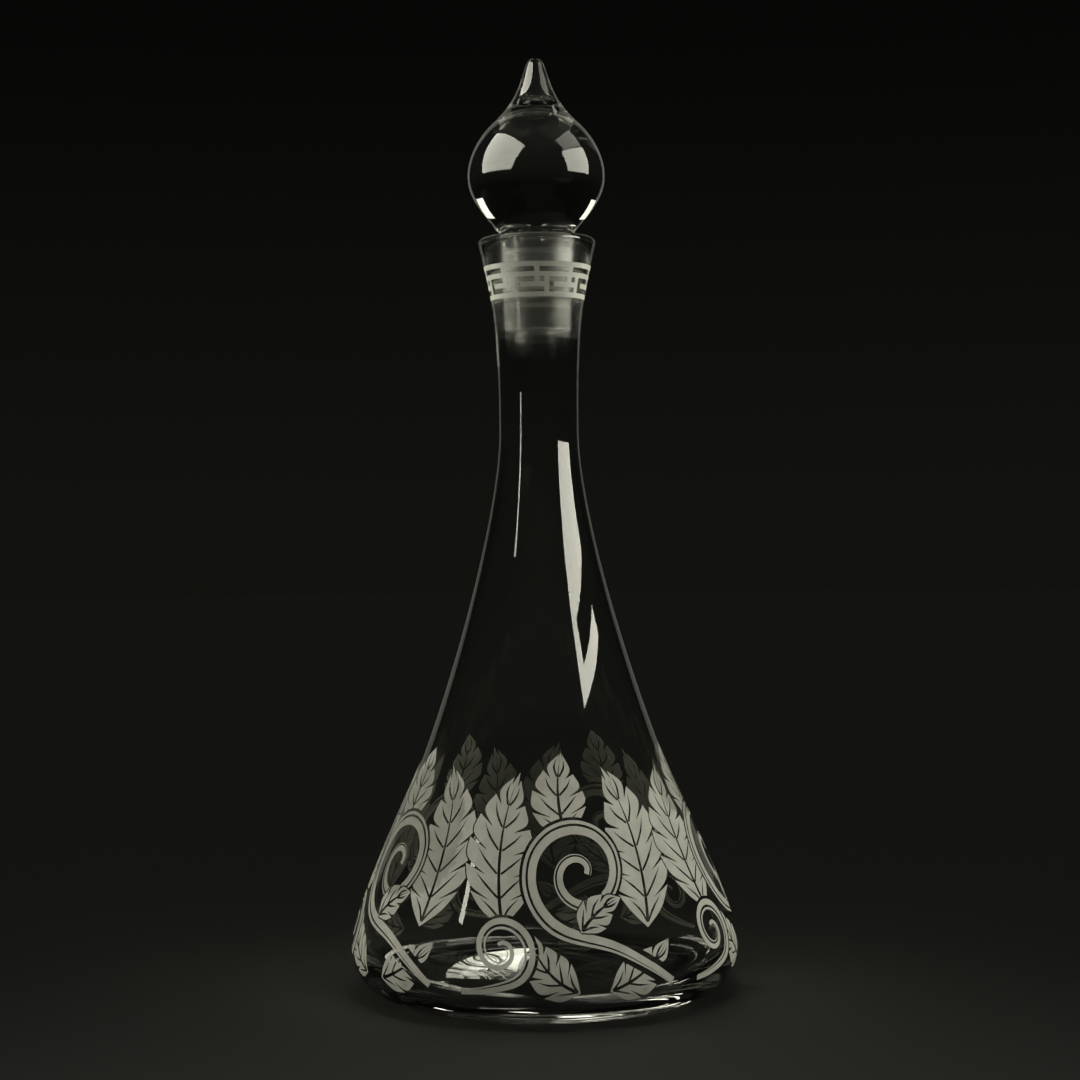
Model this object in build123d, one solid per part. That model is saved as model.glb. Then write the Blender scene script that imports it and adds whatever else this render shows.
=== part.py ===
"""Wine decanter: a tall conical glass bottle and the solid glass stopper ground to fit its mouth.

Millimetres, +Z up. The origin is the centre of the resting face, on the axis of both pieces.
Both pieces are turned shapes: each is one closed half profile (radius, height) spun about Z.
"""
from build123d import *
import math
import os

# Bottle, outside
body_radius = 68.75          # widest, at the top of the heel's quarter turn
rim_height = 267.7           # flat top of the mouth above the table
heel_radius = 16.0           # round from the resting face into the side
heel_turn = 95.0             # degrees of that round: the side leaves it leaning in a little
cone_height = 74.1           # where the straight cone starts to hollow in towards the neck
cone_inset = 21.8            # how much narrower the body is there
cone_lean = 24.8             # lean of the cone from upright, degrees
waist_drop = 69.7            # narrowest place of the neck, below the mouth
mouth_flare = 13.7           # outward lean of the mouth, degrees
lip_radius = 1.8             # round of the outer edge of the mouth
lip_inner_radius = 0.8       # round of the inner edge of the mouth

# Bottle, glass thickness
body_wall = 2.8
heel_wall = 3.4              # a little thicker at the widest place
neck_wall = 2.45
rim_wall = 7.875
floor_thickness = 7.0
inner_heel_radius = 12.0
punt_height = 3.5            # the underside is dished, so that the bottle stands on a ring
ring_width = 4.0             # flat width of that ring
floor_crown = 3.0            # rise of the inside floor at its middle

# Ground joint between the stopper's plug and the neck
plug_length = 33.0           # reach of the plug below the mouth
plug_tip_radius = 11.8
plug_taper = 1.0 / 24.0      # growth of the radius for each millimetre of height
plug_tip_round = 0.8
grind_clearance = 0.05       # radial gap between plug and bore
bore_overrun = 3.0           # the ground bore runs this much deeper than the plug

# Stopper, above the mouth
collar_gap = 2.1             # from the mouth to the foot of the ball
collar_radius = 13.5
ball_radius = 24.5
ball_center_rise = 21.9      # widest place of the ball above the mouth
ball_foot_lean = -41.0       # the ball opens outwards from its foot, degrees from upright
shoulder_rise = 40.15        # where the ball's top turns into the finial
shoulder_radius = 16.23
shoulder_lean = 46.7
finial_rise = 62.0           # where the finial's side meets its rounded end
finial_radius = 3.1
finial_lean = 18.8

# Pulls: how far each smooth curve keeps its starting or ending direction
heel_pull = 7.7
cone_pull_below = 40.0
cone_pull_above = 20.2
waist_pull_below = 31.0
waist_pull_above = 41.7
lip_pull = 20.8
bore_pull = 8.0
ball_foot_pull = 10.0
ball_pull_below = 7.0
ball_pull_above = 9.76
shoulder_pull_below = 1.47
shoulder_pull_above = 12.4
finial_pull = 10.5

plug_tip_height = rim_height - plug_length
plug_mouth_radius = plug_tip_radius + plug_length * plug_taper


def along(lean):
    """Unit vector (radius, height) that climbs while leaning inwards by this angle."""
    return Vector(-math.sin(math.radians(lean)), math.cos(math.radians(lean)))


def sweep(start, start_lean, start_pull, end, end_lean, end_pull):
    """Smooth curve that climbs from start to end and keeps the given lean at each end."""
    start_point = Vector(*start)
    end_point = Vector(*end)
    return Bezier(
        start_point,
        start_point + along(start_lean) * start_pull,
        end_point - along(end_lean) * end_pull,
        end_point,
    )


def turned(edges):
    """Solid of revolution about Z from the closed half profile that these edges make."""
    return revolve(Plane.XZ * make_face(Curve() + edges), Axis.Z)


def bottle_outside():
    """Edges from the middle of the underside up to the flat top of the mouth."""
    ring_outer = body_radius - heel_radius
    underside = TangentArc((0, punt_height), (ring_outer - ring_width, 0), tangent=(1, 0))
    ring = Line(underside @ 1, (ring_outer, 0))
    heel = CenterArc((ring_outer, heel_radius), heel_radius, -90, heel_turn)
    cone_point = (body_radius - cone_inset, cone_height)
    waist_point = (plug_tip_radius + neck_wall, rim_height - waist_drop)
    lip_center = (plug_mouth_radius + rim_wall - lip_radius, rim_height - lip_radius)
    lip = CenterArc(lip_center, lip_radius, -mouth_flare, 90 + mouth_flare)
    side = sweep(heel @ 1, heel_turn - 90, heel_pull, cone_point, cone_lean, cone_pull_below)
    shoulder = sweep(cone_point, cone_lean, cone_pull_above, waist_point, 0, waist_pull_below)
    flare = sweep(waist_point, 0, waist_pull_above, lip @ 0, -mouth_flare, lip_pull)
    return [underside, ring, heel, side, shoulder, flare, lip]


def bottle_inside():
    """Edges from the middle of the inside floor up to the flat top of the mouth."""
    heel_center = body_radius - heel_wall - inner_heel_radius
    floor = TangentArc(
        (0, floor_thickness + floor_crown), (heel_center, floor_thickness), tangent=(1, 0)
    )
    heel = CenterArc(
        (heel_center, floor_thickness + inner_heel_radius), inner_heel_radius, -90, heel_turn
    )
    outward = along(cone_lean - 90)
    cone_point = (
        body_radius - cone_inset - body_wall * outward.X,
        cone_height - body_wall * outward.Y,
    )
    waist_point = (plug_tip_radius, rim_height - waist_drop)
    taper_lean = -math.degrees(math.atan(plug_taper))
    bore_foot_drop = plug_length + bore_overrun
    bore_foot = (
        plug_mouth_radius + grind_clearance - bore_foot_drop * plug_taper,
        rim_height - bore_foot_drop,
    )
    lip_center = (
        plug_mouth_radius + grind_clearance + lip_inner_radius,
        rim_height - lip_inner_radius,
    )
    lip = CenterArc(lip_center, lip_inner_radius, 180, -90)
    side = sweep(heel @ 1, heel_turn - 90, heel_pull, cone_point, cone_lean, cone_pull_below)
    shoulder = sweep(cone_point, cone_lean, cone_pull_above, waist_point, 0, waist_pull_below)
    neck = sweep(waist_point, 0, bore_pull, bore_foot, taper_lean, bore_pull)
    bore = Line(bore_foot, lip @ 0)
    return [floor, heel, side, shoulder, neck, bore, lip]


def make_bottle():
    outside = bottle_outside()
    inside = bottle_inside()
    axis_edge = Line(outside[0] @ 0, inside[0] @ 0)
    mouth_edge = Line(outside[-1] @ 1, inside[-1] @ 1)
    return turned(outside + [mouth_edge] + inside + [axis_edge])


def make_stopper():
    """Plug with a flat tip, short collar, ball, and a finial that ends in a small round."""
    tip_wall_radius = plug_tip_radius + plug_tip_round * plug_taper
    collar = (collar_radius, rim_height + collar_gap)
    equator = (ball_radius, rim_height + ball_center_rise)
    shoulder = (shoulder_radius, rim_height + shoulder_rise)
    finial = (finial_radius, rim_height + finial_rise)
    tip = Line((0, plug_tip_height), (tip_wall_radius - plug_tip_round, plug_tip_height))
    tip_round = TangentArc(
        tip @ 1, (tip_wall_radius, plug_tip_height + plug_tip_round), tangent=(1, 0)
    )
    plug = Line(tip_round @ 1, (plug_mouth_radius, rim_height))
    neck = Line(plug @ 1, collar)
    ball_below = sweep(collar, ball_foot_lean, ball_foot_pull, equator, 0, ball_pull_below)
    ball_above = sweep(
        equator, 0, ball_pull_above, shoulder, shoulder_lean, shoulder_pull_below
    )
    spire = sweep(
        shoulder, shoulder_lean, shoulder_pull_above, finial, finial_lean, finial_pull
    )
    end_radius = finial_radius / math.cos(math.radians(finial_lean))
    end_center = (0, finial[1] - end_radius * math.sin(math.radians(finial_lean)))
    end = CenterArc(end_center, end_radius, finial_lean, 90 - finial_lean)
    axis_edge = Line(end @ 1, tip @ 0)
    return turned([tip, tip_round, plug, neck, ball_below, ball_above, spire, end, axis_edge])


os.makedirs("parts", exist_ok=True)
export_step(make_bottle(), "parts/bottle.step")
export_step(make_stopper(), "parts/stopper.step")
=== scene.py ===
import math

import bpy
import numpy as np
from mathutils import Euler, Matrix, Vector, geometry


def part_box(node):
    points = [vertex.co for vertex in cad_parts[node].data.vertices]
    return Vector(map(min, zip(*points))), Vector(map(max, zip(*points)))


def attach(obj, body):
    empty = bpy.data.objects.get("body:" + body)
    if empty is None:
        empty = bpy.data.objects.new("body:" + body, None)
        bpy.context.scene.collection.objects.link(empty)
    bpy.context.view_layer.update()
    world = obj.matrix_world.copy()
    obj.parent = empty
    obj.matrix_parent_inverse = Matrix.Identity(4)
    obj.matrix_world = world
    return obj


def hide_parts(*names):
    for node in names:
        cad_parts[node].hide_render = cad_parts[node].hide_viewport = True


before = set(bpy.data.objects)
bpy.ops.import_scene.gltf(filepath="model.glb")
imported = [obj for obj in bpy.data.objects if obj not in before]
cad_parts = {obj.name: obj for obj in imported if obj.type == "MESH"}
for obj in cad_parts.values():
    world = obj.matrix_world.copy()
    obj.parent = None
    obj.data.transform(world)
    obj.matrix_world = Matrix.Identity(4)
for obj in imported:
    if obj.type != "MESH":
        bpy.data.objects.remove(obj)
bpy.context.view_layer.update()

mm = 0.001

# ---------------------------------------------------------------------------------------------
# Camera. A short telephoto a little above the middle of the bottle, looking almost level, held
# very slightly out of upright.

eye_distance = 746 * mm
eye_height = 168 * mm
look_down = math.radians(0.60)
tilt = math.radians(0.65)

camera_data = bpy.data.cameras.new("camera")
camera_data.lens = 69.6
camera_data.sensor_width = 36.0
camera_data.clip_start = 0.01
camera = bpy.data.objects.new("camera", camera_data)
camera.location = (0.0, -eye_distance, eye_height)
camera.rotation_euler = Euler((math.pi / 2 - look_down, tilt, 0.0), "XYZ")
bpy.context.scene.collection.objects.link(camera)
bpy.context.scene.camera = camera

# ---------------------------------------------------------------------------------------------
# Bottle. Blown clear glass with a dished underside, a rounded heel, a cone that hollows into a
# narrow neck, and a flared mouth with a ground bore. One closed wall, turned about the axis.

body_radius = 68.75 * mm
rim_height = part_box("bottle")[1][2]
heel_radius = 16.0 * mm
heel_turn = 95.0
cone_height = 74.1 * mm
cone_inset = 21.8 * mm
cone_lean = 24.8
waist_drop = 69.7 * mm
mouth_flare = 13.7
lip_radius = 1.8 * mm
lip_inner_radius = 0.8 * mm
body_wall = 2.8 * mm
heel_wall = 3.4 * mm
neck_wall = 2.45 * mm
rim_wall = 7.875 * mm
floor_thickness = 7.0 * mm
inner_heel_radius = 12.0 * mm
punt_height = 3.5 * mm
ring_width = 4.0 * mm
floor_crown = 3.0 * mm
plug_length = 33.0 * mm
plug_tip_radius = 11.8 * mm
plug_taper = 1.0 / 24.0
grind_clearance = 0.05 * mm
bore_overrun = 3.0 * mm
plug_mouth_radius = plug_tip_radius + plug_length * plug_taper


def along(lean):
    """Unit vector (radius, height) that climbs while leaning inwards by lean degrees."""
    return np.array((-math.sin(math.radians(lean)), math.cos(math.radians(lean))))


def sweep(start, start_lean, start_pull, end, end_lean, end_pull, steps):
    """Cubic curve B(t) = (1-t)^3 a + 3(1-t)^2 t b + 3(1-t) t^2 c + t^3 d from a to d, where b and
    c lie on the start and end directions."""
    a = np.array(start)
    d = np.array(end)
    b = a + along(start_lean) * start_pull
    c = d - along(end_lean) * end_pull
    t = np.linspace(0.0, 1.0, steps + 1)[:, None]
    return (1 - t) ** 3 * a + 3 * (1 - t) ** 2 * t * b + 3 * (1 - t) * t**2 * c + t**3 * d


def arc(center, radius, first, last, steps):
    """Circle c + r (cos u, sin u) for u from first to last degrees."""
    u = np.radians(np.linspace(first, last, steps + 1))
    return np.column_stack((center[0] + radius * np.cos(u), center[1] + radius * np.sin(u)))


def dish(height, edge, edge_height, steps):
    """Cap of a sphere seen in section: z = edge_height + (height - edge_height)(1 - (r/edge)^2),
    which is the sphere to within a hair at this depth."""
    r = np.linspace(0.0, edge, steps + 1)
    z = edge_height + (height - edge_height) * (1 - (r / edge) ** 2)
    return np.column_stack((r, z))


def joined(*runs):
    """One profile from runs that share their end points."""
    return np.vstack([runs[0]] + [run[1:] for run in runs[1:]])


def even(a, z):
    """No swell: the piece is perfectly round."""
    return 0.0


def hand_blown(a, z):
    """Slow unevenness of blown glass, A (sin(2a + z/p) + sin(3a - z/q + 1)), with pitches p and q
    of about 20 mm. It fades in above the heel and out below the ground bore."""
    fade = np.clip((z - 22 * mm) / (20 * mm), 0, 1) * np.clip((210 * mm - z) / (20 * mm), 0, 1)
    waves = np.sin(2 * a + z / (17 * mm)) + np.sin(3 * a - z / (23 * mm) + 1.0)
    return 0.07 * mm * fade * waves


def turned(name, profile, sectors, swell=even):
    """Mesh of a closed turned piece: point (r, z) of the profile becomes r (sin a, -cos a), z for
    equal steps of a, and r grows by the swell there. The profile starts and ends on the axis and
    climbs outside first, which turns the faces outwards."""
    a = np.arange(sectors) * (2 * math.pi / sectors)
    inner = profile[1:-1]
    radius = inner[:, :1] + swell(a, inner[:, 1:])
    ring = np.stack(
        (
            radius * np.sin(a),
            -radius * np.cos(a),
            np.repeat(inner[:, 1:], sectors, axis=1),
        ),
        axis=-1,
    ).reshape(-1, 3)
    first = (0.0, 0.0, profile[0, 1])
    last = (0.0, 0.0, profile[-1, 1])
    points = np.vstack((ring, first, last))
    rows = len(inner)
    i = np.arange(rows - 1)[:, None] * sectors
    j = np.arange(sectors)
    k = (j + 1) % sectors
    quads = np.stack((i + j, i + k, i + sectors + k, i + sectors + j), axis=-1).reshape(-1, 4)
    low = np.column_stack((np.full(sectors, rows * sectors), k, j))
    top = (rows - 1) * sectors
    high = np.column_stack((np.full(sectors, rows * sectors + 1), top + j, top + k))
    mesh = bpy.data.meshes.new(name)
    mesh.from_pydata(points.tolist(), [], quads.tolist() + low.tolist() + high.tolist())
    mesh.polygons.foreach_set("use_smooth", np.ones(len(mesh.polygons), dtype=bool))
    mesh.update()
    return mesh


def placed(name, mesh, materials):
    """Object at the origin with these materials."""
    piece = bpy.data.objects.new(name, mesh)
    for material in materials:
        mesh.materials.append(material)
    bpy.context.scene.collection.objects.link(piece)
    return piece


def outside_profile():
    """Outer half profile from the middle of the underside to the top of the mouth."""
    ring_outer = body_radius - heel_radius
    cone_point = (body_radius - cone_inset, cone_height)
    waist_point = (plug_tip_radius + neck_wall, rim_height - waist_drop)
    lip_center = (plug_mouth_radius + rim_wall - lip_radius, rim_height - lip_radius)
    heel = arc((ring_outer, heel_radius), heel_radius, -90, heel_turn - 90, 26)
    lip = arc(lip_center, lip_radius, -mouth_flare, 90, 12)
    return joined(
        dish(punt_height, ring_outer - ring_width, 0.0, 16),
        np.array(((ring_outer - ring_width, 0.0), (ring_outer, 0.0))),
        heel,
        sweep(heel[-1], heel_turn - 90, 7.7 * mm, cone_point, cone_lean, 40 * mm, 22),
        sweep(cone_point, cone_lean, 20.2 * mm, waist_point, 0, 31 * mm, 40),
        sweep(waist_point, 0, 41.7 * mm, lip[0], -mouth_flare, 20.8 * mm, 26),
        lip,
    )


def inside_profile():
    """Inner half profile from the middle of the inside floor to the top of the mouth."""
    heel_center = body_radius - heel_wall - inner_heel_radius
    outward = along(cone_lean - 90)
    cone_point = np.array((body_radius - cone_inset, cone_height)) - body_wall * outward
    waist_point = (plug_tip_radius, rim_height - waist_drop)
    bore_drop = plug_length + bore_overrun
    bore_foot = (
        plug_mouth_radius + grind_clearance - bore_drop * plug_taper,
        rim_height - bore_drop,
    )
    taper_lean = -math.degrees(math.atan(plug_taper))
    lip_center = (
        plug_mouth_radius + grind_clearance + lip_inner_radius,
        rim_height - lip_inner_radius,
    )
    heel = arc(
        (heel_center, floor_thickness + inner_heel_radius), inner_heel_radius, -90, heel_turn - 90, 24
    )
    lip = arc(lip_center, lip_inner_radius, 180, 90, 8)
    return joined(
        dish(floor_thickness + floor_crown, heel_center, floor_thickness, 16),
        heel,
        sweep(heel[-1], heel_turn - 90, 7.7 * mm, cone_point, cone_lean, 40 * mm, 22),
        sweep(cone_point, cone_lean, 20.2 * mm, waist_point, 0, 31 * mm, 36),
        sweep(waist_point, 0, 8 * mm, bore_foot, taper_lean, 8 * mm, 8),
        np.linspace(bore_foot, lip[0], 9),
        lip,
    )


def glass(name, tint, roughness):
    """Glass, polished or ground, that lets most of the lamps' light pass to what is behind."""
    material = bpy.data.materials.new(name)
    material.use_nodes = True
    nodes = material.node_tree.nodes
    links = material.node_tree.links
    shader = nodes["Principled BSDF"]
    shader.inputs["Base Color"].default_value = (*tint, 1.0)
    shader.inputs["Roughness"].default_value = roughness
    shader.inputs["IOR"].default_value = 1.52
    shader.inputs["Transmission Weight"].default_value = 1.0
    path = nodes.new("ShaderNodeLightPath")
    through = nodes.new("ShaderNodeBsdfTransparent")
    through.inputs["Color"].default_value = (0.80, 0.80, 0.79, 1.0)
    mix = nodes.new("ShaderNodeMixShader")
    links.new(path.outputs["Is Shadow Ray"], mix.inputs[0])
    links.new(shader.outputs[0], mix.inputs[1])
    links.new(through.outputs[0], mix.inputs[2])
    links.new(mix.outputs[0], nodes["Material Output"].inputs["Surface"])
    return material


def ground(mesh, lowest, highest, widest):
    """Second material on the faces whose middle lies between two heights and inside a radius."""
    middle = np.empty(len(mesh.polygons) * 3)
    mesh.polygons.foreach_get("center", middle)
    x, y, z = middle.reshape(-1, 3).T
    matte = (z > lowest) & (z < highest) & (np.hypot(x, y) < widest)
    mesh.polygons.foreach_set("material_index", matte.astype(np.int32))


bottle_mesh = turned(
    "bottle_glass", np.vstack((outside_profile(), inside_profile()[::-1])), 256, hand_blown
)
ground(
    bottle_mesh,
    rim_height - plug_length - bore_overrun,
    rim_height - lip_inner_radius,
    plug_mouth_radius + 2 * grind_clearance,
)
bottle_clear = glass("clear_bottle_glass", (0.965, 0.975, 0.955), 0.0)
bottle_ground = glass("ground_bore", (0.965, 0.975, 0.955), 0.14)
bottle = placed("bottle_glass", bottle_mesh, [bottle_clear, bottle_ground])
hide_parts("bottle")
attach(bottle, "bottle")

# ---------------------------------------------------------------------------------------------
# Etched scrolls. Acanthus leaves and volutes sandblasted round the lower body through a cut
# stencil: matte leaf fields with fine clear lines left between and inside them. The stencil is in
# (angle round the bottle in degrees, height in mm); 0 faces front and 180 is the back.

etch_depth = 0.04 * mm       # thickness of the matte skin
etch_lift = 0.012 * mm       # its inner face stands this far off the mesh of the glass
moat = 0.9                   # clear gap round a leaf, mm
seam_angle = -100.0
stencil = []                 # (matte or clear, polygon), the later ones lie over the earlier

outer_wall = outside_profile()[17:]
wall_height = outer_wall[:, 1] / mm
wall_radius = outer_wall[:, 0] / mm
wall_slope = np.gradient(wall_radius, wall_height + np.arange(len(wall_height)) * 1e-9)


def millimetres_per_degree(height):
    """Length of one degree round the bottle's outside at this height."""
    return np.interp(height, wall_height, wall_radius) * math.pi / 180


def through(points, pitch=1.2):
    """Smooth curve through given points. Between b and c, with neighbours a and d, it is
    (2b + (c-a) t + (2a-5b+4c-d) t^2 + (3b-a-3c+d) t^3) / 2 for t from 0 to 1."""
    p = np.array(points, dtype=float)
    q = np.vstack((2 * p[0] - p[1], p, 2 * p[-1] - p[-2]))
    steps = np.maximum(2, np.ceil(np.hypot(*np.diff(p, axis=0).T) / pitch)).astype(int)
    u = np.concatenate([k + np.arange(n) / n for k, n in enumerate(steps)] + [[len(p) - 1.0]])
    k = np.minimum(u.astype(int), len(p) - 2)
    t = (u - k)[:, None]
    a, b, c, d = q[k], q[k + 1], q[k + 2], q[k + 3]
    return 0.5 * (2 * b + (c - a) * t + (2 * a - 5 * b + 4 * c - d) * t**2 + (3 * b - a - 3 * c + d) * t**3)


def beside(line, distance):
    """The line moved sideways on the glass by distance mm, to the left of its direction."""
    scale = millimetres_per_degree(line[:, 1])
    step = np.gradient(line, axis=0) * np.column_stack((scale, np.ones(len(line))))
    step /= np.maximum(np.hypot(*step.T), 1e-9)[:, None]
    return line + np.column_stack((-step[:, 1] / scale, step[:, 0])) * np.reshape(distance, (-1, 1))


def band(line, widths):
    """Quads that follow the line. widths are full widths in mm, spread evenly along it. A quad
    that a tight turn folds over itself is left out: it turns left at one corner, right at another."""
    half = np.interp(np.linspace(0, 1, len(line)), np.linspace(0, 1, len(widths)), widths) / 2
    left = beside(line, half)
    right = beside(line, -half)
    quads = np.stack((right[:-1], right[1:], left[1:], left[:-1]), axis=1)
    side = np.roll(quads, -1, axis=1) - quads
    following = np.roll(side, -1, axis=1)
    turn = side[..., 0] * following[..., 1] - side[..., 1] * following[..., 0]
    return quads[np.all(turn > -1e-9, axis=1)]


def stem(points, widths):
    """A matte band of these widths, spread evenly along its way."""
    stencil.extend((True, quad) for quad in band(through(points), widths))


def line(points, widths, offset=0.0):
    """A clear line left in the matte fields."""
    stencil.extend((False, quad) for quad in band(beside(through(points), offset), widths))


def leaf(*runs):
    """A matte field. Each run is smooth, and runs meet at corners. A clear moat parts it from what
    it overlaps."""
    corners = [run[-1] for run in runs]
    pieces = [through([corners[k - 1], *run]) for k, run in enumerate(runs)]
    for piece in pieces:
        stencil.extend((False, quad) for quad in band(piece, (moat, moat)))
    stencil.append((True, np.vstack([piece[1:] for piece in pieces])))


def on_glass(middle, across, height):
    """Places on the bottle of points set out flat: the angle grows from the panel's middle by
    across (mm) over the length of one degree at that height."""
    return np.column_stack((middle + across / millimetres_per_degree(height), height))


def volute(middle, lead, across, height, radius, start, turns, width):
    """Stem that runs through the lead's places and curls in on (across, height). Its distance from
    there falls evenly from radius to an eighth, over these turns from start degrees (0 is up)."""
    t = np.linspace(0, 1, int(abs(turns) * 12) + 1)
    turn = np.radians(start) + 2 * math.pi * turns * t
    reach = radius * (1 - 0.875 * t)
    curl = np.column_stack((across + reach * np.sin(turn), height + reach * np.cos(turn)))
    path = on_glass(middle, *np.vstack((lead, curl)).T)
    line(path, (width + 2.0, width + 2.0, 0.5 * width + 1.4))
    stem(path, (0.5 * width, width, width, 0.8 * width, 0.5 * width))
    line(path, (0.0, 0.8, 0.8, 0.7, 0.5), width / 6)


def acanthus(middle, across, height, lean, bend, length, width, lobes):
    """Leaf from a foot at (across, height). Its rib sets off at lean degrees from upright and
    turns evenly by bend. Each side stands off the rib by half the width times sin(pi s^0.7), s
    being the share of the way, and is cut into even lobes whose tips point forward."""
    s = np.linspace(0, 1, 61)
    turn = np.radians(lean + bend * s)
    rib_across = across + length * np.cumsum(np.sin(turn)) / len(s)
    rib_height = height + length * np.cumsum(np.cos(turn)) / len(s)
    pitch = 0.9 / lobes

    def beside_rib(shares, side, parts):
        """Places at these shares of the way, at these parts of the leaf's reach on one side."""
        shares = np.minimum(shares, 1.0)
        off = side * np.array(parts) * width / 2 * np.sin(math.pi * shares**0.7)
        a = np.interp(shares, s, turn)
        x = np.interp(shares, s, rib_across) + off * np.cos(a)
        z = np.interp(shares, s, rib_height) - off * np.sin(a)
        return on_glass(middle, x, z)

    edges = []
    for side in (-1, 1):
        steps = [np.array((k + 0.6, k + 1.35, k + 1.0)) * pitch for k in range(lobes)]
        edges.append([beside_rib(step, side, (1.0, 1.05, 0.4)) for step in steps])
    foot = on_glass(middle, np.array([across]), np.array([height]))[0]
    tip = on_glass(middle, rib_across[-1:], rib_height[-1:])[0]
    rising = [run for bulge, point, notch in edges[0] for run in ([bulge, point], [notch])]
    feet = [foot] + [notch for _, _, notch in edges[1][:-1]]
    falling = [[edges[1][-1][2]]]
    for k in reversed(range(lobes)):
        bulge, point, _ = edges[1][k]
        falling += [[point], [bulge, feet[k]]]
    leaf(*rising, [tip], *falling)
    line(beside_rib(np.linspace(0.02, 0.94, 9), 1, np.zeros(9)), (1.2, 0.9, 0.0))
    for side in (-1, 1):
        for k in range(lobes):
            shares = np.array((k + 0.1, k + 0.6, k + 1.1)) * pitch
            line(beside_rib(shares, side, (0.06, 0.42, 0.74)), (0.7, 0.7, 0.0))


# One upright motif, the same in each panel: two volutes that curl against each other, with
# acanthus leaves springing from their stems. It is set out flat, in mm from the panel's middle.
panels = 5
for panel in range(panels):
    middle = seam_angle + (panel + 0.5) * 360.0 / panels
    acanthus(middle, -23, 34, -6, 34, 50, 23, 6)
    acanthus(middle, 27, 32, 4, -36, 54, 23, 6)
    acanthus(middle, 0, 62, -14, 30, 27, 18, 4)
    acanthus(middle, 12, 13, 75, -35, 28, 14, 4)
    acanthus(middle, 2, 13, -70, 62, 27, 14, 4)
    volute(middle, [(36, 14), (27, 20), (14, 27)], 4, 50, 19, -160, 1.7, 4.6)
    volute(middle, [(-38, 13), (-30, 14)], -24, 27, 11, 160, -1.5, 3.6)
    acanthus(middle, 3, 32, 35, 40, 18, 11, 3)


def etched_skin(name, points, faces):
    """Closed thin skin on the outside of the glass from a flat mesh in (angle, height): the place
    is (r sin a, -r cos a, z) with r the wall's radius at z, moved out along the wall's normal
    (1, -dr/dz) by the lift, and by lift and depth for the outer face."""
    a = np.radians(points[:, 0])
    radius = np.interp(points[:, 1], wall_height, wall_radius) * mm
    slope = np.interp(points[:, 1], wall_height, wall_slope)
    out = np.column_stack((np.ones(len(a)), -slope)) / np.hypot(1.0, slope)[:, None]
    sheets = []
    for stand_off in (etch_lift + etch_depth, etch_lift):
        r = radius + stand_off * out[:, 0]
        z = points[:, 1] * mm + stand_off * out[:, 1]
        sheets.append(np.column_stack((r * np.sin(a), -r * np.cos(a), z)))
    sides = [np.roll(faces, -k, axis=1)[:, :2] for k in range(faces.shape[1])]
    edges = np.vstack(sides)
    order = np.sort(edges, axis=1)
    _, where, uses = np.unique(order, axis=0, return_inverse=True, return_counts=True)
    border = edges[uses[where.ravel()] == 1]
    count = len(points)
    walls = np.column_stack((border[:, 1], border[:, 0], border[:, 0] + count, border[:, 1] + count))
    mesh = bpy.data.meshes.new(name)
    mesh.from_pydata(
        np.vstack(sheets).tolist(),
        [],
        faces.tolist() + (faces[:, ::-1] + count).tolist() + walls.tolist(),
    )
    # The inner face takes the second material, the sandblast painted darker as painted shade.
    inner = np.zeros(len(mesh.polygons), dtype=np.int32)
    inner[len(faces) : 2 * len(faces)] = 1
    mesh.polygons.foreach_set("material_index", inner)
    mesh.update()
    return mesh


def matte_etching(name, dark, light):
    """Sandblasted glass: pale, quite matte, with a fine grain and slightly uneven whiteness between the
    dark and light colours. Called again with darker colours, it is painted shade for the skin's inner face.
    """
    material = bpy.data.materials.new(name)
    material.use_nodes = True
    nodes = material.node_tree.nodes
    links = material.node_tree.links
    shader = nodes["Principled BSDF"]
    shader.inputs["Roughness"].default_value = 0.62
    shader.inputs["IOR"].default_value = 1.45
    shader.inputs["Alpha"].default_value = 0.80
    place = nodes.new("ShaderNodeTexCoord")
    cloud = nodes.new("ShaderNodeTexNoise")
    cloud.inputs["Scale"].default_value = 160.0
    cloud.inputs["Detail"].default_value = 6.0
    shade = nodes.new("ShaderNodeValToRGB")
    shade.color_ramp.elements[0].position = 0.30
    shade.color_ramp.elements[0].color = (*dark, 1.0)
    shade.color_ramp.elements[1].position = 0.70
    shade.color_ramp.elements[1].color = (*light, 1.0)
    links.new(place.outputs["Object"], cloud.inputs["Vector"])
    links.new(cloud.outputs["Fac"], shade.inputs["Fac"])
    links.new(shade.outputs["Color"], shader.inputs["Base Color"])
    return material


def anticlockwise(polygon):
    """Whether the polygon's area by the shoelace sum is positive."""
    x, y = polygon.T
    return np.sum(x * np.roll(y, -1) - y * np.roll(x, -1)) > 0


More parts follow.
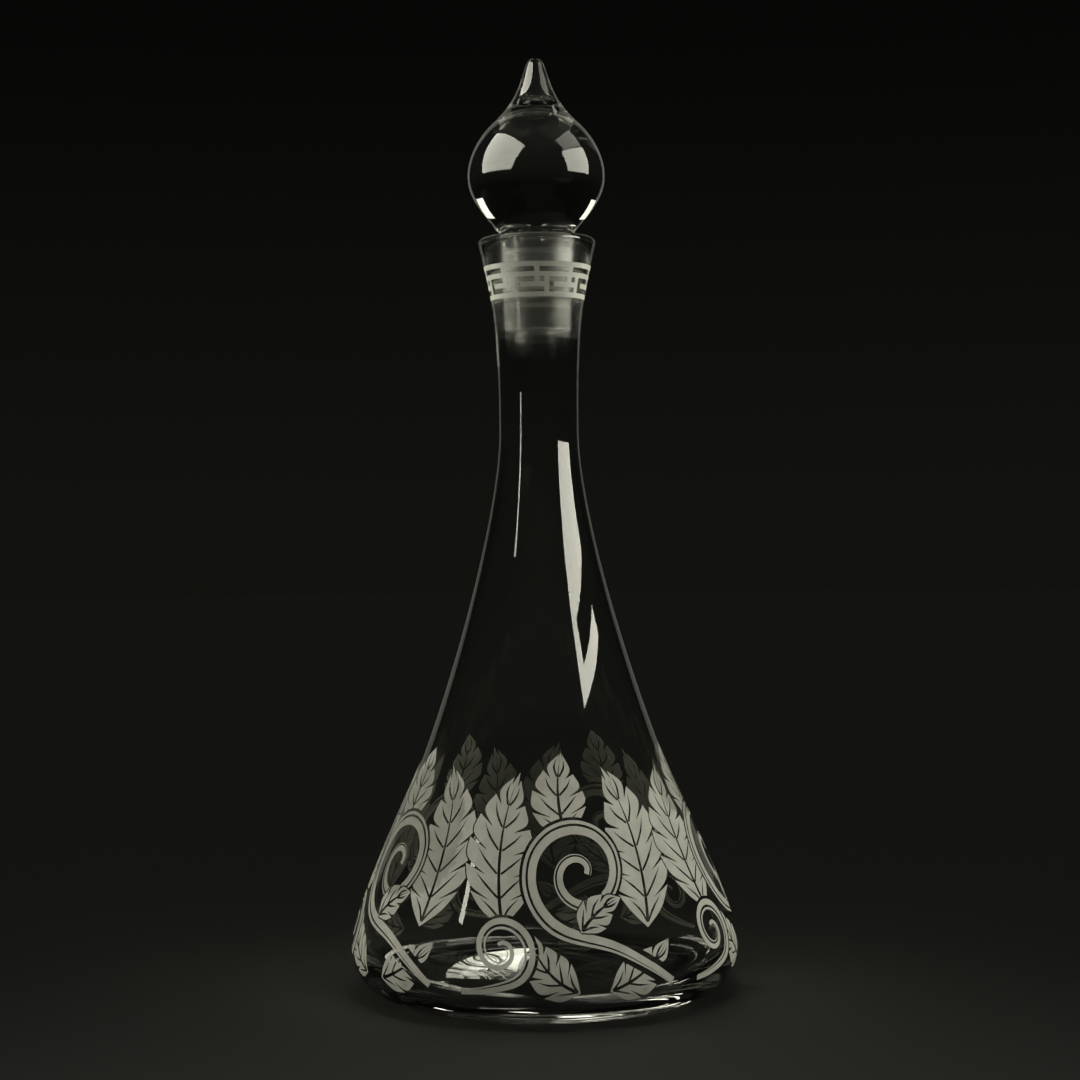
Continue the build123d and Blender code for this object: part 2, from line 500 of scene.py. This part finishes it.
def cut_stencil(pieces, lowest, highest):
    """Matte triangles of the stencil in (angle, height). Every polygon's edges are worked into one
    triangulation, and a triangle is matte if the last polygon that covers it is. Loose points
    in between keep the triangles short enough to follow the round glass."""
    pieces = [(matte, run if anticlockwise(run) else run[::-1]) for matte, run in pieces]
    angles = np.arange(seam_angle, seam_angle + 361, 2.4)
    heights = np.arange(lowest, highest + 3, 3.0)
    grid = np.stack(np.meshgrid(angles, heights), axis=-1).reshape(-1, 2)
    ends = [0, *np.cumsum([len(polygon) for _, polygon in pieces])]
    corners = np.vstack([polygon for _, polygon in pieces] + [grid])
    faces = [list(range(a, b)) for a, b in zip(ends[:-1], ends[1:])]
    points, _, triangles, _, _, covers = geometry.delaunay_2d_cdt(
        [Vector(corner) for corner in corners.tolist()], [], faces, 0, 1e-4, True
    )
    points = np.array([tuple(point) for point in points])
    matte = [bool(cover) and pieces[max(cover)][0] for cover in covers]
    kept = np.array([t for t, m in zip(triangles, matte) if m])
    middle = points[kept].mean(axis=1)
    kept = kept[(middle[:, 0] >= seam_angle) & (middle[:, 0] < seam_angle + 360)]
    used, kept = np.unique(kept, return_inverse=True)
    return points[used], kept.reshape(-1, 3)


# The second material is the same sandblast painted darker. It is painted shade for the inner face, which
# shows on the far-side leaves seen through the bottle. It is partly also the weaker scattering where the
# sandblast lies on the glass.
etching = [
    matte_etching("sandblasted_glass", (0.62, 0.62, 0.57), (0.80, 0.80, 0.745)),
    matte_etching("sandblast_inner_face_painted_shade", (0.32, 0.32, 0.29), (0.44, 0.44, 0.405)),
]
scroll_points, scroll_faces = cut_stencil(stencil, 8.0, 96.0)
scroll_mesh = etched_skin("etched_scrolls", scroll_points, scroll_faces)
scrolls = placed("etched_scrolls", scroll_mesh, etching)
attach(scrolls, "bottle")

# ---------------------------------------------------------------------------------------------
# Etched key band. A fret of square hooks between two plain lines, sandblasted round the flare of
# the mouth.

fret_rows = (
    "#######",
    ".....#.",
    "#######",
    "#....#.",
    "#.#####",
    "#......",
    "#######",
)
fret_repeats = 9
fret_row_height = 1.73
fret_foot = 245.4
fret_start = -31.9


def fret(rows, repeats, foot, row_height, start, splits):
    """Matte cells of the fret as quads in (angle, height). The rows of marks, the top row first,
    repeat round the neck, and each mark is split into quads that follow the round glass."""
    marks = np.array([[mark == "#" for mark in row * repeats] for row in rows[::-1]])
    marks = np.repeat(marks, splits, axis=1)
    levels, count = marks.shape
    angles = start + np.arange(count) * 360 / count
    heights = foot + np.arange(levels + 1) * row_height
    points = np.stack(np.meshgrid(angles, heights), axis=-1).reshape(-1, 2)
    row, column = np.nonzero(marks)
    here = row * count + column
    beyond = row * count + (column + 1) % count
    quads = np.column_stack((here, beyond, beyond + count, here + count))
    used, quads = np.unique(quads, return_inverse=True)
    return points[used], quads.reshape(-1, 4)


band_points, band_faces = fret(fret_rows, fret_repeats, fret_foot, fret_row_height, fret_start, 4)
key_band_mesh = etched_skin("etched_key_band", band_points, band_faces)
key_band = placed("etched_key_band", key_band_mesh, etching)
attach(key_band, "bottle")

# ---------------------------------------------------------------------------------------------
# Stopper. Solid clear glass: a plug ground to the bore and left matte, a short collar, a
# polished ball, and a drawn-out finial.

plug_tip_round = 0.8 * mm
collar_radius = 13.5 * mm
collar_height = rim_height + 2.1 * mm
ball_radius = 24.5 * mm
ball_height = rim_height + 21.9 * mm
shoulder_point = (16.23 * mm, rim_height + 40.15 * mm)
shoulder_lean = 46.7
finial_lean = 18.8
finial_radius = 3.1 * mm
finial_height = rim_height + 62.0 * mm


def stopper_profile():
    """Half profile from the middle of the plug's tip to the top of the finial."""
    tip_height = rim_height - plug_length
    wall_radius = plug_tip_radius + plug_tip_round * plug_taper
    plug = np.linspace(
        (wall_radius, tip_height + plug_tip_round), (plug_mouth_radius, rim_height), 12
    )
    collar = (collar_radius, collar_height)
    equator = (ball_radius, ball_height)
    finial = (finial_radius, finial_height)
    end_radius = finial_radius / math.cos(math.radians(finial_lean))
    end_center = (0.0, finial_height - end_radius * math.sin(math.radians(finial_lean)))
    return joined(
        np.linspace((0.0, tip_height), (wall_radius - plug_tip_round, tip_height), 8),
        arc((wall_radius - plug_tip_round, tip_height + plug_tip_round), plug_tip_round, -90, 0, 6),
        plug,
        np.linspace(plug[-1], collar, 4),
        sweep(collar, -41, 10 * mm, equator, 0, 7 * mm, 36),
        sweep(equator, 0, 9.76 * mm, shoulder_point, shoulder_lean, 1.47 * mm, 36),
        sweep(shoulder_point, shoulder_lean, 12.4 * mm, finial, finial_lean, 10.5 * mm, 36),
        arc(end_center, end_radius, finial_lean, 90, 14),
    )


stopper_mesh = turned("stopper_glass", stopper_profile(), 256)
ground(stopper_mesh, rim_height - plug_length, rim_height, body_radius)
stopper_clear = glass("clear_stopper_glass", (0.975, 0.98, 0.965), 0.0)
stopper_ground = glass("ground_plug", (0.965, 0.97, 0.955), 0.14)
stopper = placed("stopper_glass", stopper_mesh, [stopper_clear, stopper_ground])
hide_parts("stopper")
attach(stopper, "stopper")

# ---------------------------------------------------------------------------------------------
# Stage: a pale table top in dim light and dark surroundings. Long soft lamps stand at both sides,
# each lighting only the piece it is linked to, and black cards shade some reflections. Most gleams
# show only as reflections off the outer surface. Spots light the table behind the glass.


def seen_by(name, pieces):
    """Collection of the pieces that a lamp lights."""
    receivers = bpy.data.collections.new(name)
    for piece in pieces:
        receivers.objects.link(piece)
    return receivers


def side_lamp(name, azimuth, width, bottom, top, distance, radiance, receivers):
    """Soft rectangular lamp that faces the bottle from azimuth degrees to the right of the camera.
    Its edges are given as directions in degrees from the middle of the neck. Its power is
    radiance x pi x area."""
    aim = Vector((0.0, 0.0, 0.20))
    middle = math.radians((bottom + top) / 2)
    bearing = math.radians(azimuth)
    data = bpy.data.lights.new(name, "AREA")
    data.shape = "RECTANGLE"
    data.size = 2 * distance * math.tan(math.radians(width / 2))
    data.size_y = 2 * distance * math.tan(math.radians((top - bottom) / 2))
    data.energy = radiance * math.pi * data.size * data.size_y
    data.color = (1.0, 0.985, 0.84)
    lamp = bpy.data.objects.new(name, data)
    lamp.location = aim + distance * Vector(
        (
            math.sin(bearing) * math.cos(middle),
            -math.cos(bearing) * math.cos(middle),
            math.sin(middle),
        )
    )
    lamp.rotation_euler = (aim - lamp.location).to_track_quat("-Z", "Y").to_euler()
    lamp.visible_camera = False
    lamp.light_linking.receiver_collection = receivers
    bpy.context.scene.collection.objects.link(lamp)
    return lamp


def black_card(name, radius, first, last, low, high):
    """Dull black rectangular card bent round the bottle at this radius, from first to last degrees
    to the right of the camera and from low to high mm. It shades reflections, casts no shadow."""
    a = np.radians(np.linspace(first, last, 9))
    x, y = radius * np.sin(a), -radius * np.cos(a)
    edges = [np.column_stack((x, y, np.full(9, z * mm))) for z in (low, high)]
    mesh = bpy.data.meshes.new(name)
    mesh.from_pydata(np.vstack(edges).tolist(), [], [(k, k + 1, k + 10, k + 9) for k in range(8)])
    card = placed(name, mesh, [card_paint])
    card.visible_camera = False
    card.visible_shadow = False
    card.visible_diffuse = False
    card.visible_transmission = False


table_radius = 4.0
table = arc((0.0, 0.0), table_radius, 0, 360, 96)[:-1]
table_mesh = bpy.data.meshes.new("table_top")
table_mesh.from_pydata(
    np.column_stack((table, np.zeros(len(table)))).tolist(), [], [list(range(len(table)))]
)
table_paint = bpy.data.materials.new("pale_table")
table_paint.use_nodes = True
table_shader = table_paint.node_tree.nodes["Principled BSDF"]
table_shader.inputs["Base Color"].default_value = (0.55, 0.55, 0.52, 1)
table_shader.inputs["Roughness"].default_value = 0.8
table_shader.inputs["Specular IOR Level"].default_value = 0.1
table_top = placed("table_top", table_mesh, [table_paint])

world = bpy.data.worlds.new("surroundings")
world.use_nodes = True
sky_nodes = world.node_tree.nodes
sky_links = world.node_tree.links
heading = sky_nodes.new("ShaderNodeTexCoord")
axes = sky_nodes.new("ShaderNodeSeparateXYZ")
gloom = sky_nodes.new("ShaderNodeValToRGB")
gloom.color_ramp.elements[0].position = 0.0
gloom.color_ramp.elements[0].color = (0.0062, 0.0062, 0.0050, 1.0)
gloom.color_ramp.elements[1].position = 0.22
gloom.color_ramp.elements[1].color = (0.0022, 0.0022, 0.0020, 1.0)
sky_links.new(heading.outputs["Generated"], axes.inputs[0])
sky_links.new(axes.outputs["Z"], gloom.inputs["Fac"])
sky_links.new(gloom.outputs["Color"], sky_nodes["Background"].inputs["Color"])
bpy.context.scene.world = world
bpy.context.scene.view_settings.view_transform = "Standard"

bottle_only = seen_by("bottle_only", [bottle])
stopper_only = seen_by("stopper_only", [stopper])
scrolls_only = seen_by("scrolls_only", [scrolls])
band_only = seen_by("band_only", [key_band])
table_only = seen_by("table_only", [table_top])

side_lamp("right_gleam", 72, 40, 6, 29, 1.0, 11.0, bottle_only).visible_transmission = False
side_lamp("left_gleam", -52, 3.2, 2, 23, 0.44, 10.0, bottle_only).visible_transmission = False
side_lamp("right_edge", 150, 20, -8, 50, 1.0, 0.2, bottle_only).visible_transmission = False
side_lamp("left_edge", -150, 20, -8, 50, 1.0, 0.2, bottle_only).visible_transmission = False
side_lamp("top_gleam", 0, 30, 75, 105, 1.0, 2.0, bottle_only)
side_lamp("right_window", 75, 44, 5, 42, 1.0, 7.5, stopper_only).visible_transmission = False
side_lamp("left_window", -70, 62, 9, 60, 1.0, 7.5, stopper_only).visible_transmission = False
side_lamp("right_glow", 75, 44, 5, 42, 1.0, 1.6, stopper_only).visible_glossy = False
side_lamp("left_glow", -70, 62, 9, 60, 1.0, 1.6, stopper_only).visible_glossy = False
side_lamp("right_high", 78, 34, 43, 60, 1.0, 2.2, stopper_only)
side_lamp("right_back", 126, 16, 26, 42, 1.0, 1.5, stopper_only).visible_glossy = False
side_lamp("left_back", -122, 14, 28, 44, 1.0, 1.5, stopper_only).visible_glossy = False
side_lamp("right_rim", 156, 18, -8, 60, 1.0, 0.3, stopper_only).visible_transmission = False
side_lamp("left_rim", -156, 18, -8, 60, 1.0, 0.3, stopper_only).visible_transmission = False
side_lamp("left_spot", -124, 6, 53, 58, 1.0, 2.0, stopper_only)
side_lamp("right_spot", 134, 6, 58, 63, 1.0, 2.0, stopper_only)
side_lamp("right_soft", 78, 50, 4, 36, 1.0, 4.2, scrolls_only)
side_lamp("left_soft", -74, 72, 6, 44, 1.0, 2.3, scrolls_only)
side_lamp("right_band", 90, 60, 0, 40, 1.0, 5.0, band_only)
side_lamp("left_band", -90, 60, 0, 40, 1.0, 4.5, band_only)

card_paint = bpy.data.materials.new("black_card")
card_paint.use_nodes = True
card_shader = card_paint.node_tree.nodes["Principled BSDF"]
card_shader.inputs["Base Color"].default_value = (0.004, 0.004, 0.004, 1)
card_shader.inputs["Specular IOR Level"].default_value = 0.0
black_card("low_card", 0.20, 40, 104, 60, 190)
black_card("middle_card", 0.20, 55, 100, 200, 215)
black_card("left_card", 0.10, -80, -30, 95, 190)
black_card("upper_left_card", 0.10, -60, -30, 215, 260)

base_data = bpy.data.lights.new("base_gleam", "AREA")
base_data.shape = "RECTANGLE"
base_data.size = 0.052
base_data.size_y = 1.4
base_data.energy = 3.0 * math.pi * base_data.size * base_data.size_y
base_data.color = (1.0, 0.985, 0.84)
base_gleam = bpy.data.objects.new("base_gleam", base_data)
base_gleam.location = (-0.045, 0.85, 0.12)
base_gleam.visible_camera = False
base_gleam.light_linking.receiver_collection = bottle_only
bpy.context.scene.collection.objects.link(base_gleam)


def table_pool(name, x, y, power, opening):
    """Round soft pool of light on the table, from a spot lamp 1.1 m above the table."""
    data = bpy.data.lights.new(name, "SPOT")
    data.energy = power
    data.shadow_soft_size = 0.12
    data.spot_size = math.radians(opening)
    data.spot_blend = 1.0
    data.color = (1.0, 0.99, 0.93)
    pool = bpy.data.objects.new(name, data)
    pool.location = (x, y, 1.1)
    pool.visible_camera = False
    pool.light_linking.receiver_collection = table_only
    bpy.context.scene.collection.objects.link(pool)


table_pool("table_pool", 0.0, -0.30, 1.4, 37)
table_pool("back_pool", -0.68, 0.36, 5.0, 26)
table_pool("front_pool", 0.57, -0.57, 5.0, 32)

wash_data = bpy.data.lights.new("table_wash", "SUN")
wash_data.energy = 0.032
wash_data.angle = math.radians(60)
wash_data.color = (1.0, 0.99, 0.90)
wash = bpy.data.objects.new("table_wash", wash_data)
wash.light_linking.receiver_collection = table_only
bpy.context.scene.collection.objects.link(wash)

bpy.context.scene.cycles.max_bounces = 24
bpy.context.scene.cycles.transmission_bounces = 24
bpy.context.scene.cycles.glossy_bounces = 12
bpy.context.scene.cycles.transparent_max_bounces = 24
bpy.context.scene.cycles.caustics_reflective = False
bpy.context.scene.cycles.caustics_refractive = False
